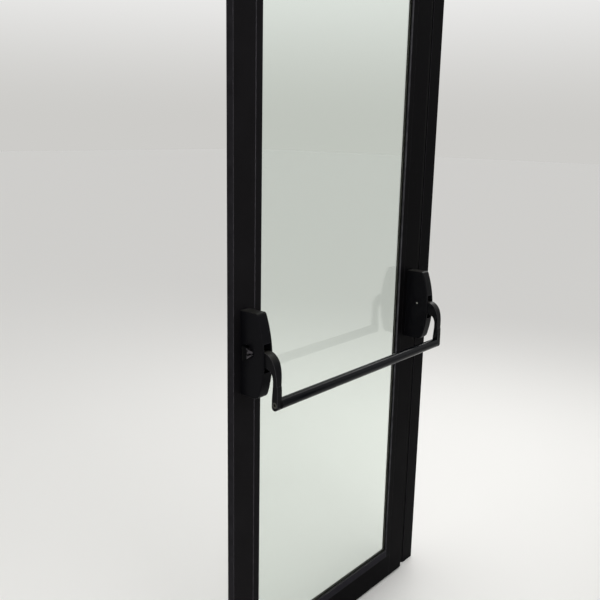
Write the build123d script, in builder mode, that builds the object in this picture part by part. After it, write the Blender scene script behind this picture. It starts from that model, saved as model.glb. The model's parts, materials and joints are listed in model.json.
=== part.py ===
from build123d import *
import math
import os

os.makedirs("parts", exist_ok=True)

# Driving dimensions in millimetres: the leaf and its hollow sections
leaf_width = 900
leaf_height = 2200
leaf_thickness = 24
stile_face = 80
top_rail_face = 80
bottom_rail_face = 90
section_wall = 2.2
section_arris = 0.8
flange_thickness = 3

# Glazing: pane, gaskets, snap-in beads and setting blocks
glass_thickness = 8
glass_arris = 1
glass_bite = 13
outer_gasket_thickness = 4
inner_gasket_thickness = 3
gasket_width = 7
gasket_rib = 3
gasket_rib_depth = 1.2
bead_width = 25
bead_wall = 1.8
bead_leg = 8.5
bead_lip = 7
bead_barb = 1
bead_barb_height = 2.5
block_length = 100
block_inset = 90

# Door frame: hollow section with a stop, and the gaps round the leaf
frame_depth = 90
jamb_face = 45
frame_wall = 2.5
stop_width = 20
floor_gap = 8
edge_gap = 6
stop_gap = 4
seal_inset = 12
seal_width = 8
seal_wall = 1
seal_corner = 2.5
seal_clearance = 0.4
groove_width = 4
groove_depth = 3.5
groove_wall = 1.5
frame_cleat_leg = 60
frame_cleat_wall = 6
fixing_radius = 4.5
fixing_depth = 14
fixing_from_hinge = 200
fixing_shares = (-1, -1 / 3, 1 / 3, 1)
head_fixing_spacing = 450

# Leaf corners: cleats in the rail ends, tie bolts and end plugs
cleat_length = 60
tie_bolt_radius = 4
tie_bolt_head = 7.5
tie_bolt_inset = 22
end_plug_depth = 8

# Butt hinges on the pull side
hinge_height = 100
hinge_knuckles = 5
knuckle_radius = 7
knuckle_gap = 0.3
wing_thickness = 2.5
wing_width = 22
pin_offset = 7
pin_radius = 3.5
pin_clearance = 0.05
pin_head_radius = 5
pin_head_height = 2
pin_head_round = 1.2
bottom_hinge_rise = 250
top_hinge_drop = 200
hinge_screw_radius = 2.5
hinge_screw_head = 4.8
hinge_screw_length = 16
hinge_screw_spacing = 24
hinge_screw_steps = (-1.5, -0.5, 0.5, 1.5)

# Push bar: height of its axis on the leaf, distance out of the face, tube and end fixings
bar_height = 943
bar_drop = 130
bar_out = 119
bar_radius = 15
bar_wall = 1.5
bar_plug_length = 28
bar_screw_radius = 5
bar_screw_head = 8
bar_screw_head_height = 8
bar_screw_sink = 0.5
bar_push_angle = 15

# Cases that carry the arms, measured from the pivot
case_inset = 24.4
case_width = 37.2
case_wall = 2.4
case_below = 126
case_above = 110
case_depth = 86
case_foot_depth = 67
case_head_depth = 61
case_foot_radius = 20
case_head_radius = 8
case_edge_radius = 3
slot_width = 28
slot_top = 30
slot_foot = 50
slot_corner = 3
slot_cut_depth = 45
pivot_out = 46
axle_radius = 5
axle_head_radius = 6.5
axle_head_height = 2.5
axle_head_round = 1
axle_socket_depth = 1.8
axle_clearance = 0.05
fit_gap = 0.3
base_thickness = 3
cheek_thickness = 2.6
cheek_radius = 11
cheek_foot = 70
lug_length = 13
lug_width = 12
lug_height = 10
cover_screw_out = 9.5
cover_screw_radius = 2
cover_screw_head = 3.8
cover_screw_length = 9
case_screw_radius = 2.5
case_screw_head = 5
case_screw_length = 14
case_screw_rises = (-112, -76, 74, 90)

# Cast arms: side outline points are distances out of the face and above the pivot
arm_width = 26
arm_foot_width = 18
arm_shoulder = -15
arm_waist = -80
arm_waist_level = -78
arm_root_slope = 0.2
arm_root_top = 8
arm_root_foot = -31
arm_root_draft = 3
arm_shoulder_in = 2
arm_shoulder_drop = 16
arm_waist_out = 7.6
arm_waist_in = 6.5
arm_crook_in = 11.5
arm_crook_drop = 12
arm_start = 62
arm_hub_radius = 13
arm_web_height = 30
arm_end_radius = 10
arm_end_drop = 6

# Latch bolt, its drive pin, spring and guide rod
bolt_back = 24
bolt_depth = 26
bolt_height = 39
bolt_tip = 7
bolt_tip_flat = 5
bolt_bevel = 15
bolt_tail = 33.6
bolt_tip_radius = 1.5
bolt_nose_end = 29
bolt_nose_shoulder = 8
bolt_nose_point = 4
bolt_eye_radius = 2
bolt_eye_inset = 7
bolt_eye_drop = 3
bolt_window_gap = 0.4
bolt_travel = 11
drive_pin_radius = 2.5
drive_pin_rise = 1
drive_pin_seat = 6
latch_bore_radius = 4.6
latch_bore_floor = 17
latch_bore_out = 33
latch_bore_rise = 10.5
guide_rod_radius = 2.5
guide_rod_tip = 29
latch_spring_radius = 3.8
latch_spring_wire = 0.5
latch_spring_turns = 4
bolt_rest_rise = 9.5
bolt_rest_height = 8

# Slider that the lock-side arm lifts, with its guide screw and return spring
hub_width = 8
finger_length = 30
finger_radius = 5
finger_shank = 7.6
slider_thickness = 5
jaw_gap = 0.15
jaw_thickness = 5.35
jaw_overreach = 3
bridge_height = 12
bridge_rise = -13
tail_width = 12
tail_foot = -47
guide_screw_radius = 2.5
guide_screw_head = 5
guide_screw_head_height = 2.4
guide_screw_socket_depth = 1.4
guide_screw_across = 36
guide_screw_rise = -33
stem_radius = 2.5
stem_out = 12
stem_top = 73
shelf_rise = 59
shelf_thickness = 4
shelf_depth = 16
return_spring_radius = 3.4
return_spring_wire = 0.6
return_spring_turns = 7
wire_sides = 4

# Strike plate on the frame's stop
strike_thickness = 2
strike_width = 50
strike_height = 110
strike_corner = 4
strike_margin = 1.5
strike_cut_margin = 2
strike_lip = 1.2
strike_screw_inset = 12
strike_screw_radius = 2
strike_screw_head = 3.8
strike_screw_length = 14

# Common fits
hole_clearance = 0.1
running_gap = 0.15
socket_share = 0.55

# Places: X runs across the opening, Y from the lock edge of the open leaf into the frame, Z up
clear_width = leaf_width + 2 * edge_gap
clear_height = floor_gap + leaf_height + edge_gap
frame_height = clear_height + jamb_face
frame_width = clear_width + 2 * jamb_face
overall_depth = frame_depth + pin_offset + edge_gap / 2 + leaf_width
frame_back_y = overall_depth / 2
frame_front_y = frame_back_y - frame_depth
hinge_reveal_x = -clear_width / 2
strike_reveal_x = clear_width / 2
pin_x = hinge_reveal_x + edge_gap / 2
pin_y = frame_front_y - pin_offset
pull_face_x = pin_x + pin_offset
bar_face_x = pull_face_x + leaf_thickness
hinge_edge_y = pin_y - edge_gap / 2
lock_edge_y = hinge_edge_y - leaf_width
leaf_foot_z = floor_gap
leaf_head_z = floor_gap + leaf_height
pivot_z = leaf_foot_z + bar_height + bar_drop
stop_start = leaf_thickness + stop_gap
stop_depth = frame_depth - stop_start

# Depths into the leaf from its bar face, and the bead line inside each member's face
bead_depth = (
    leaf_thickness - flange_thickness - outer_gasket_thickness - glass_thickness - inner_gasket_thickness
)
glass_start = bead_depth + inner_gasket_thickness
glass_edge_gap = bead_width - glass_bite
daylight_width = leaf_width - 2 * stile_face
daylight_height = leaf_height - top_rail_face - bottom_rail_face
daylight_y = (lock_edge_y + hinge_edge_y) / 2
daylight_z = leaf_foot_z + bottom_rail_face + daylight_height / 2

# Cases across the leaf: distances in from the leaf's edge
case_middle = case_inset + case_width / 2
case_far = case_inset + case_width
case_near_wall = case_inset + case_wall
case_far_wall = case_far - case_wall
base_near = case_near_wall + fit_gap
base_far = case_far_wall - fit_gap
far_cheek = base_far - cheek_thickness
near_cheek = base_near
arm_near = case_middle - arm_width / 2
arm_far = case_middle + arm_width / 2
hub_near = arm_far - hub_width
middle_cheek = hub_near - fit_gap - cheek_thickness
arm_foot_near = case_middle - arm_foot_width / 2
arm_foot_far = case_middle + arm_foot_width / 2
push_lift = finger_length * math.sin(math.radians(bar_push_angle))

# Each side of the device: the leaf edge it is measured from and the way inward along Y
lock_side = (lock_edge_y, 1)
hinge_side = (hinge_edge_y, -1)

corner = (Align.MIN, Align.MIN)
low = (Align.CENTER, Align.MIN)
upright = (Align.CENTER, Align.CENTER, Align.MIN)


def side_plane(side, near, far):
    """Plane of a side outline (out of the face, above the pivot) that extrudes over near..far."""
    edge, inward = side
    high_y = max(edge + inward * near, edge + inward * far)
    return Plane(origin=(bar_face_x, high_y, pivot_z), x_dir=(1, 0, 0), z_dir=(0, -1, 0))


def front_plane(side, across, out):
    """Plane facing out of the leaf, with its centre at a distance in from the leaf's edge."""
    edge, inward = side
    return Plane(
        origin=(bar_face_x + out, edge + inward * across, pivot_z), x_dir=(0, 1, 0), z_dir=(1, 0, 0)
    )


def end_plane(side, across, out, rise, outward):
    """Plane at a distance in from the leaf's edge that faces along the leaf, outward or inward."""
    edge, inward = side
    facing = -inward if outward else inward
    return Plane(
        origin=(bar_face_x + out, edge + inward * across, pivot_z + rise), z_dir=(0, facing, 0)
    )


def hex_sockets(planes, radius, depth):
    """Hexagonal socket faces, returned as one cutter for heads that lie in the given planes."""
    with BuildPart() as sockets:
        with BuildSketch(*planes):
            RegularPolygon(radius, 6)
        extrude(amount=-depth)
    return sockets.part


def countersunk_screws(planes, radius, head_radius, length):
    """Countersunk screws with 90 degree heads, flush with the given planes."""
    places = [plane.location for plane in planes]
    head_height = head_radius - radius
    with BuildPart() as screws:
        with Locations(*places):
            Cylinder(radius, length, align=(Align.CENTER, Align.CENTER, Align.MAX))
            Cone(radius, head_radius, head_height, align=(Align.CENTER, Align.CENTER, Align.MAX))
        add(hex_sockets(planes, head_radius * socket_share, head_height / 2), mode=Mode.SUBTRACT)
    return screws.part


def countersinks(planes, radius, head_radius, depth):
    """Countersunk holes for those screws, cut from the given planes."""
    with Locations(*[plane.location for plane in planes]):
        CounterSinkHole(radius + hole_clearance, head_radius, depth, counter_sink_angle=90)


def drill(planes, radius, depth):
    """Plain holes of an exact radius, drilled from the given planes."""
    with Locations(*[plane.location for plane in planes]):
        Hole(radius, depth=depth)


def draw_frame_section():
    """Frame section: x runs from the reveal into the wall, y from the pull face into the depth."""
    Rectangle(jamb_face, frame_depth, align=corner)
    with Locations((-stop_width, stop_start)):
        Rectangle(stop_width, stop_depth, align=corner)
    with Locations((frame_wall, frame_wall)):
        chamber = frame_depth - 2 * frame_wall
        Rectangle(jamb_face - 2 * frame_wall, chamber, align=corner, mode=Mode.SUBTRACT)
    with Locations((frame_wall - stop_width, stop_start + frame_wall)):
        chamber = stop_depth - 2 * frame_wall
        Rectangle(stop_width - frame_wall, chamber, align=corner, mode=Mode.SUBTRACT)
    with Locations((-seal_inset, stop_start)):
        Rectangle(groove_width + 2 * groove_wall, groove_depth + groove_wall, align=low)
        Rectangle(groove_width, groove_depth, align=low, mode=Mode.SUBTRACT)


def seal_section():
    """Bulb seal: a foot that fills the groove and a hollow bulb towards the closed leaf."""
    rise = stop_gap - seal_clearance
    with BuildSketch() as section:
        with Locations((-seal_inset, stop_start)):
            Rectangle(seal_width, rise, align=(Align.CENTER, Align.MAX))
        fillet(section.vertices().group_by(Axis.Y)[0], radius=seal_corner)
        with Locations((-seal_inset, stop_start)):
            Rectangle(groove_width, groove_depth, align=low)
        with Locations((-seal_inset, stop_start - rise / 2)):
            SlotOverall(seal_width - 2 * seal_wall, rise - 2 * seal_wall, mode=Mode.SUBTRACT)
    return section.sketch


def leaf_section(face):
    """Stile or rail section: x runs in from the leaf's edge, y from the bar face to the pull face."""
    with BuildSketch() as section:
        Rectangle(face, leaf_thickness, align=corner)
        arrises = section.vertices().filter_by(lambda point: min(point.X, point.Y) < section_arris)
        fillet(arrises, radius=section_arris)
        with Locations((section_wall, section_wall)):
            chamber = leaf_thickness - 2 * section_wall
            Rectangle(face - 2 * section_wall, chamber, align=corner, mode=Mode.SUBTRACT)
        with Locations((face, leaf_thickness - flange_thickness)):
            Rectangle(bead_width, flange_thickness, align=corner)
        with Locations((face + bead_width - gasket_width / 2, leaf_thickness - flange_thickness)):
            Rectangle(gasket_rib, gasket_rib_depth, align=low, mode=Mode.SUBTRACT)
        with Locations((face, bead_leg)):
            Rectangle(bead_barb, bead_barb_height, align=(Align.MAX, Align.MAX), mode=Mode.SUBTRACT)
    return section.sketch


def bead_section(face):
    """Snap-in bead: face, leg with its barb, nose and a lip that carries the gasket."""
    with BuildSketch() as section:
        with BuildLine():
            Polyline(
                (face, 0),
                (face + bead_width, 0),
                (face + bead_width, bead_depth),
                (face + bead_width - bead_lip, bead_depth),
                (face + bead_width - bead_lip, bead_depth - bead_wall),
                (face + bead_width - bead_wall, bead_depth - bead_wall),
                (face + bead_width - bead_wall, bead_wall),
                (face + bead_wall, bead_wall),
                (face + bead_wall, bead_leg),
                (face - bead_barb, bead_leg),
                (face - bead_barb, bead_leg - bead_barb_height),
                (face, bead_leg - bead_barb_height),
                close=True,
            )
        make_face()
        fillet(section.vertices().group_by(Axis.Y)[0], radius=section_arris)
    return section.sketch


# Hinges: levels, and the screw places on both wings
hinge_levels = {
    "bottom": leaf_foot_z + bottom_hinge_rise,
    "middle": (leaf_foot_z + bottom_hinge_rise + leaf_head_z - top_hinge_drop) / 2,
    "top": leaf_head_z - top_hinge_drop,
}
screw_rises = [hinge_screw_spacing * step for step in hinge_screw_steps]
wing_middle = wing_width / 2
leaf_wing_planes = [
    Plane(origin=(pull_face_x + wing_middle, hinge_edge_y + wing_thickness, level + rise), z_dir=(0, 1, 0))
    for level in hinge_levels.values()
    for rise in screw_rises
]
jamb_wing_planes = [
    Plane(origin=(hinge_reveal_x + wing_thickness, frame_front_y + wing_middle, level + rise), z_dir=(1, 0, 0))
    for level in hinge_levels.values()
    for rise in screw_rises
]

# Jambs and head, mitred at the corners
fixing_reach = (hinge_levels["top"] - hinge_levels["bottom"]) / 2 - fixing_from_hinge
frame_holes = [hinge_levels["middle"] + fixing_reach * share for share in fixing_shares]
hinge_jamb_section = Plane(
    origin=(hinge_reveal_x, frame_front_y, frame_height), x_dir=(-1, 0, 0), z_dir=(0, 0, -1)
)
strike_jamb_section = Plane(origin=(strike_reveal_x, frame_front_y, 0), x_dir=(1, 0, 0), z_dir=(0, 0, 1))
head_section = Plane(
    origin=(frame_width / 2, frame_front_y, clear_height), x_dir=(0, 0, 1), z_dir=(-1, 0, 0)
)
hinge_mitre = Plane(origin=(hinge_reveal_x, 0, clear_height), z_dir=(1, 0, 1))
strike_mitre = Plane(origin=(strike_reveal_x, 0, clear_height), z_dir=(-1, 0, 1))
fixing_y = frame_front_y + fixing_depth


def jamb_holes(outer_x, outward):
    """Fixing holes through both walls of a jamb, drilled from its back."""
    places = [Plane(origin=(outer_x, fixing_y, z), z_dir=(outward, 0, 0)).location for z in frame_holes]
    with Locations(*places):
        Hole(fixing_radius, depth=jamb_face)


with BuildPart() as hinge_jamb:
    with BuildSketch(hinge_jamb_section):
        draw_frame_section()
    extrude(amount=frame_height)
    split(bisect_by=hinge_mitre, keep=Keep.BOTTOM)
    jamb_holes(-frame_width / 2, -1)
    drill(jamb_wing_planes, hinge_screw_radius, wing_thickness + frame_wall)
hinge_jamb.part.label = "hinge_jamb"
export_step(hinge_jamb.part, "parts/hinge_jamb.step")

# The strike lies on the stop's inner face, level with the bolt of the closed leaf
stop_face_x = strike_reveal_x - stop_width
strike_y = frame_front_y + leaf_thickness + bolt_back + bolt_depth / 2
strike_plane = Plane(origin=(stop_face_x, strike_y, pivot_z), x_dir=(0, 1, 0), z_dir=(-1, 0, 0))
strike_front = strike_plane.offset(strike_thickness)
strike_screw_reach = strike_height / 2 - strike_screw_inset
strike_screw_planes = [
    Plane(origin=strike_front.from_local_coords((0, rise, 0)), z_dir=(-1, 0, 0))
    for rise in (-strike_screw_reach, strike_screw_reach)
]

with BuildPart() as strike_jamb:
    with BuildSketch(strike_jamb_section):
        draw_frame_section()
    extrude(amount=frame_height)
    split(bisect_by=strike_mitre, keep=Keep.BOTTOM)
    jamb_holes(frame_width / 2, 1)
    with BuildSketch(strike_plane):
        Rectangle(bolt_depth + 2 * strike_cut_margin, bolt_height + 2 * strike_cut_margin)
    extrude(amount=-frame_wall, mode=Mode.SUBTRACT)
    drill(strike_screw_planes, strike_screw_radius, strike_thickness + frame_wall)
strike_jamb.part.label = "strike_jamb"
export_step(strike_jamb.part, "parts/strike_jamb.step")

with BuildPart() as head:
    with BuildSketch(head_section):
        draw_frame_section()
    extrude(amount=frame_width)
    split(bisect_by=hinge_mitre, keep=Keep.TOP)
    split(bisect_by=strike_mitre, keep=Keep.TOP)
    head_places = [
        Plane(origin=(x, fixing_y, frame_height), z_dir=(0, 0, 1)).location
        for x in (-head_fixing_spacing / 2, head_fixing_spacing / 2)
    ]
    with Locations(*head_places):
        Hole(fixing_radius, depth=jamb_face)
head.part.label = "head"
export_step(head.part, "parts/head.step")

# Corner cleats inside the frame's main chamber
cleat_outer_x = hinge_reveal_x - jamb_face + frame_wall
cleat_inner_x = hinge_reveal_x - frame_wall
cleat_top_z = frame_height - frame_wall
cleat_under_z = clear_height + frame_wall
with BuildPart() as frame_corner_cleats:
    with BuildSketch(Plane.XZ.offset(-(frame_back_y - frame_wall))):
        with BuildLine():
            Polyline(
                (cleat_outer_x, clear_height - frame_cleat_leg),
                (cleat_outer_x, cleat_top_z),
                (hinge_reveal_x + frame_cleat_leg, cleat_top_z),
                (hinge_reveal_x + frame_cleat_leg, cleat_under_z),
                (cleat_inner_x, cleat_under_z),
                (cleat_inner_x, clear_height - frame_cleat_leg),
                close=True,
            )
        make_face()
        offset(amount=-frame_cleat_wall, kind=Kind.INTERSECTION, mode=Mode.SUBTRACT)
    extrude(amount=frame_depth - 2 * frame_wall)
    mirror(about=Plane.YZ)
frame_corner_cleats.part.label = "frame_corner_cleats"
export_step(frame_corner_cleats.part, "parts/frame_corner_cleats.step")

# Bulb seals in the stop's groove, mitred with the frame
with BuildPart() as hinge_jamb_seal:
    with BuildSketch(hinge_jamb_section):
        add(seal_section())
    extrude(amount=frame_height)
    split(bisect_by=hinge_mitre, keep=Keep.BOTTOM)
hinge_jamb_seal.part.label = "hinge_jamb_seal"
export_step(hinge_jamb_seal.part, "parts/hinge_jamb_seal.step")

with BuildPart() as strike_jamb_seal:
    with BuildSketch(strike_jamb_section):
        add(seal_section())
    extrude(amount=frame_height)
    split(bisect_by=strike_mitre, keep=Keep.BOTTOM)
strike_jamb_seal.part.label = "strike_jamb_seal"
export_step(strike_jamb_seal.part, "parts/strike_jamb_seal.step")

with BuildPart() as head_seal:
    with BuildSketch(head_section):
        add(seal_section())
    extrude(amount=frame_width)
    split(bisect_by=hinge_mitre, keep=Keep.TOP)
    split(bisect_by=strike_mitre, keep=Keep.TOP)
head_seal.part.label = "head_seal"
export_step(head_seal.part, "parts/head_seal.step")

# Strike plate and its screws
with BuildPart() as strike_plate:
    with BuildSketch(strike_plane):
        RectangleRounded(strike_width, strike_height, strike_corner)
        Rectangle(bolt_depth + 2 * strike_margin, bolt_height + 2 * strike_margin, mode=Mode.SUBTRACT)
    extrude(amount=strike_thickness)
    lip = strike_plate.faces().sort_by(Axis.X)[0].edges().sort_by(Axis.Y)[0]
    chamfer(lip, length=strike_lip)
    countersinks(strike_screw_planes, strike_screw_radius, strike_screw_head, strike_thickness)
strike_plate.part.label = "strike_plate"
export_step(strike_plate.part, "parts/strike_plate.step")

strike_screws = countersunk_screws(
    strike_screw_planes, strike_screw_radius, strike_screw_head, strike_screw_length
)
strike_screws.label = "strike_screws"
export_step(strike_screws, "parts/strike_screws.step")


def ring(reach, width):
    """Rectangular ring whose inner edge lies that far outside the sight line."""
    sight_width = daylight_width - 2 * bead_width
    sight_height = daylight_height - 2 * bead_width
    Rectangle(sight_width + 2 * (reach + width), sight_height + 2 * (reach + width))
    Rectangle(sight_width + 2 * reach, sight_height + 2 * reach, mode=Mode.SUBTRACT)


# Section planes of the leaf: the bar face is the start of the depth in each
lock_section = Plane(origin=(bar_face_x, lock_edge_y, leaf_foot_z), x_dir=(0, 1, 0), z_dir=(0, 0, 1))
hinge_section = Plane(origin=(bar_face_x, hinge_edge_y, leaf_head_z), x_dir=(0, -1, 0), z_dir=(0, 0, -1))
top_section = Plane(
    origin=(bar_face_x, lock_edge_y + stile_face, leaf_head_z), x_dir=(0, 0, -1), z_dir=(0, 1, 0)
)
bottom_section = Plane(
    origin=(bar_face_x, hinge_edge_y - stile_face, leaf_foot_z), x_dir=(0, 0, 1), z_dir=(0, -1, 0)
)
leaf_middle_x = bar_face_x - leaf_thickness / 2
flange_plane = Plane(
    origin=(pull_face_x + flange_thickness, daylight_y, daylight_z), x_dir=(0, 1, 0), z_dir=(1, 0, 0)
)

# Tie bolts run through the stiles into the cleats
tie_bolt_levels = [
    leaf_foot_z + tie_bolt_inset,
    leaf_foot_z + bottom_rail_face - tie_bolt_inset,
    leaf_head_z - top_rail_face + tie_bolt_inset,
    leaf_head_z - tie_bolt_inset,
]
tie_bolt_length = stile_face + cleat_length - end_plug_depth
lock_bolt_planes = [Plane(origin=(leaf_middle_x, lock_edge_y, z), z_dir=(0, -1, 0)) for z in tie_bolt_levels]
hinge_bolt_planes = [Plane(origin=(leaf_middle_x, hinge_edge_y, z), z_dir=(0, 1, 0)) for z in tie_bolt_levels]
# Screws that hold the two cases to the stiles
lock_screw_planes = [
    Plane(origin=(bar_face_x + base_thickness, lock_edge_y + case_middle, pivot_z + rise), z_dir=(1, 0, 0))
    for rise in case_screw_rises
]
hinge_screw_planes = [
    Plane(origin=(bar_face_x + base_thickness, hinge_edge_y - case_middle, pivot_z + rise), z_dir=(1, 0, 0))
    for rise in case_screw_rises
]


with BuildPart() as lock_stile:
    with BuildSketch(lock_section):
        add(leaf_section(stile_face))
    extrude(amount=leaf_height)
    with BuildSketch(flange_plane):
        ring((gasket_width - gasket_rib) / 2, gasket_rib)
    extrude(amount=-gasket_rib_depth, mode=Mode.SUBTRACT)
    countersinks(lock_bolt_planes, tie_bolt_radius, tie_bolt_head, stile_face)
    drill(lock_screw_planes, case_screw_radius, base_thickness + section_wall)
lock_stile.part.label = "lock_stile"
export_step(lock_stile.part, "parts/lock_stile.step")

with BuildPart() as hinge_stile:
    with BuildSketch(hinge_section):
        add(leaf_section(stile_face))
    extrude(amount=leaf_height)
    with BuildSketch(flange_plane):
        ring((gasket_width - gasket_rib) / 2, gasket_rib)
    extrude(amount=-gasket_rib_depth, mode=Mode.SUBTRACT)
    countersinks(hinge_bolt_planes, tie_bolt_radius, tie_bolt_head, stile_face)
    drill(hinge_screw_planes, case_screw_radius, base_thickness + section_wall)
    drill(leaf_wing_planes, hinge_screw_radius, wing_thickness + section_wall)
hinge_stile.part.label = "hinge_stile"
export_step(hinge_stile.part, "parts/hinge_stile.step")


def cope_rail():
    """Clear the stiles' glazing flanges at both ends of a rail."""
    for edge_y in (lock_edge_y + stile_face, hinge_edge_y - stile_face - bead_width):
        with Locations((pull_face_x, edge_y, 0)):
            Box(
                flange_thickness,
                bead_width,
                leaf_head_z,
                align=(Align.MIN, Align.MIN, Align.MIN),
                mode=Mode.SUBTRACT,
            )


with BuildPart() as top_rail:
    with BuildSketch(top_section):
        add(leaf_section(top_rail_face))
    extrude(amount=daylight_width)
    cope_rail()
top_rail.part.label = "top_rail"
export_step(top_rail.part, "parts/top_rail.step")

with BuildPart() as bottom_rail:
    with BuildSketch(bottom_section):
        add(leaf_section(bottom_rail_face))
    extrude(amount=daylight_width)
    cope_rail()
bottom_rail.part.label = "bottom_rail"
export_step(bottom_rail.part, "parts/bottom_rail.step")

# Cleats in the rail ends, tapped for the tie bolts
cleat_depth = leaf_thickness - 2 * section_wall
with BuildPart() as rail_cleats:
    for face, middle_z in (
        (bottom_rail_face, leaf_foot_z + bottom_rail_face / 2),
        (top_rail_face, leaf_head_z - top_rail_face / 2),
    ):
        for middle_y in (
            lock_edge_y + stile_face + cleat_length / 2,
            hinge_edge_y - stile_face - cleat_length / 2,
        ):
            with Locations((leaf_middle_x, middle_y, middle_z)):
                Box(cleat_depth, cleat_length, face - 2 * section_wall)
    cope_rail()
    drill(lock_bolt_planes, tie_bolt_radius, tie_bolt_length)
    drill(hinge_bolt_planes, tie_bolt_radius, tie_bolt_length)
rail_cleats.part.label = "rail_cleats"
export_step(rail_cleats.part, "parts/rail_cleats.step")

tie_bolts = countersunk_screws(
    lock_bolt_planes + hinge_bolt_planes, tie_bolt_radius, tie_bolt_head, tie_bolt_length
)
tie_bolts.label = "tie_bolts"
export_step(tie_bolts, "parts/tie_bolts.step")

# Plugs flush with the open ends of the stiles
plug_width = stile_face - 2 * section_wall
with BuildPart() as stile_end_plugs:
    for middle_y in (lock_edge_y + stile_face / 2, hinge_edge_y - stile_face / 2):
        for middle_z in (leaf_foot_z + end_plug_depth / 2, leaf_head_z - end_plug_depth / 2):
            with Locations((leaf_middle_x, middle_y, middle_z)):
                Box(cleat_depth, plug_width, end_plug_depth)
stile_end_plugs.part.label = "stile_end_plugs"
export_step(stile_end_plugs.part, "parts/stile_end_plugs.step")

# Pane of toughened glass with eased edges
glass_width = daylight_width - 2 * glass_edge_gap
glass_height = daylight_height - 2 * glass_edge_gap
glass_middle_x = bar_face_x - glass_start - glass_thickness / 2
with BuildPart() as glass:
    with Locations((glass_middle_x, daylight_y, daylight_z)):
        Box(glass_thickness, glass_width, glass_height)
    rim = glass.faces().filter_by(Axis.X).edges()
    chamfer(rim, length=glass_arris)
glass.part.label = "glass"
export_step(glass.part, "parts/glass.step")

# Beads: the upright ones run from rail to rail, the level ones fit between them
upright_bead = daylight_height
level_bead = daylight_width - 2 * bead_width
with BuildPart() as lock_bead:
    with BuildSketch(lock_section.offset(bottom_rail_face)):
        add(bead_section(stile_face))
    extrude(amount=upright_bead)
lock_bead.part.label = "lock_bead"
export_step(lock_bead.part, "parts/lock_bead.step")

with BuildPart() as hinge_bead:
    with BuildSketch(hinge_section.offset(top_rail_face)):
        add(bead_section(stile_face))
    extrude(amount=upright_bead)
hinge_bead.part.label = "hinge_bead"
export_step(hinge_bead.part, "parts/hinge_bead.step")

with BuildPart() as top_bead:
    with BuildSketch(top_section.offset(bead_width)):
        add(bead_section(top_rail_face))
    extrude(amount=level_bead)
top_bead.part.label = "top_bead"
export_step(top_bead.part, "parts/top_bead.step")

with BuildPart() as bottom_bead:
    with BuildSketch(bottom_section.offset(bead_width)):
        add(bead_section(bottom_rail_face))
    extrude(amount=level_bead)
bottom_bead.part.label = "bottom_bead"
export_step(bottom_bead.part, "parts/bottom_bead.step")


# Gaskets: the outer one has a rib in the flange's groove, the inner one lies under the beads
with BuildPart() as outer_gasket:
    with BuildSketch(flange_plane):
        ring(0, gasket_width)
    extrude(amount=outer_gasket_thickness)
    with BuildSketch(flange_plane):
        ring((gasket_width - gasket_rib) / 2, gasket_rib)
    extrude(amount=-gasket_rib_depth)
outer_gasket.part.label = "outer_gasket"
export_step(outer_gasket.part, "parts/outer_gasket.step")

with BuildPart() as inner_gasket:
    with BuildSketch(flange_plane.offset(outer_gasket_thickness + glass_thickness)):
        ring(0, gasket_width)
    extrude(amount=inner_gasket_thickness)
inner_gasket.part.label = "inner_gasket"
export_step(inner_gasket.part, "parts/inner_gasket.step")

# Setting and location blocks between the glass edge and the leaf's sections
half_width = glass_width / 2
half_height = glass_height / 2
with BuildPart() as setting_blocks:
    for across in (-half_width + block_inset, half_width - block_inset):
        for level in (-half_height - glass_edge_gap / 2, half_height + glass_edge_gap / 2):
            with Locations((glass_middle_x, daylight_y + across, daylight_z + level)):
                Box(glass_thickness, block_length, glass_edge_gap)
    for across in (-half_width - glass_edge_gap / 2, half_width + glass_edge_gap / 2):
        for level in (-half_height + block_inset, half_height - block_inset):
            with Locations((glass_middle_x, daylight_y + across, daylight_z + level)):
                Box(glass_thickness, glass_edge_gap, block_length)
setting_blocks.part.label = "setting_blocks"
export_step(setting_blocks.part, "parts/setting_blocks.step")

# Hinges: odd knuckles on the jamb wing, even ones on the leaf wing
knuckle_height = hinge_height / hinge_knuckles


def knuckle_levels(level, first):
    """Foot levels of every second knuckle of a hinge, counted from the first one."""
    foot = level - hinge_height / 2
    return [foot + knuckle_height * index for index in range(first, hinge_knuckles, 2)]


def trim_knuckles(own_levels, other_levels, own_height, bore_radius):
    """Add a wing's own knuckles, clear the other wing's, and bore them all for the pin."""
    for foot in other_levels:
        with Locations((pin_x, pin_y, foot - knuckle_gap)):
            cleared = knuckle_height + 2 * knuckle_gap
            Cylinder(knuckle_radius + knuckle_gap, cleared, align=upright, mode=Mode.SUBTRACT)
    for foot in own_levels:
        with Locations((pin_x, pin_y, foot)):
            Cylinder(knuckle_radius, own_height, align=upright)
            Cylinder(bore_radius, own_height, align=upright, mode=Mode.SUBTRACT)


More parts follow.
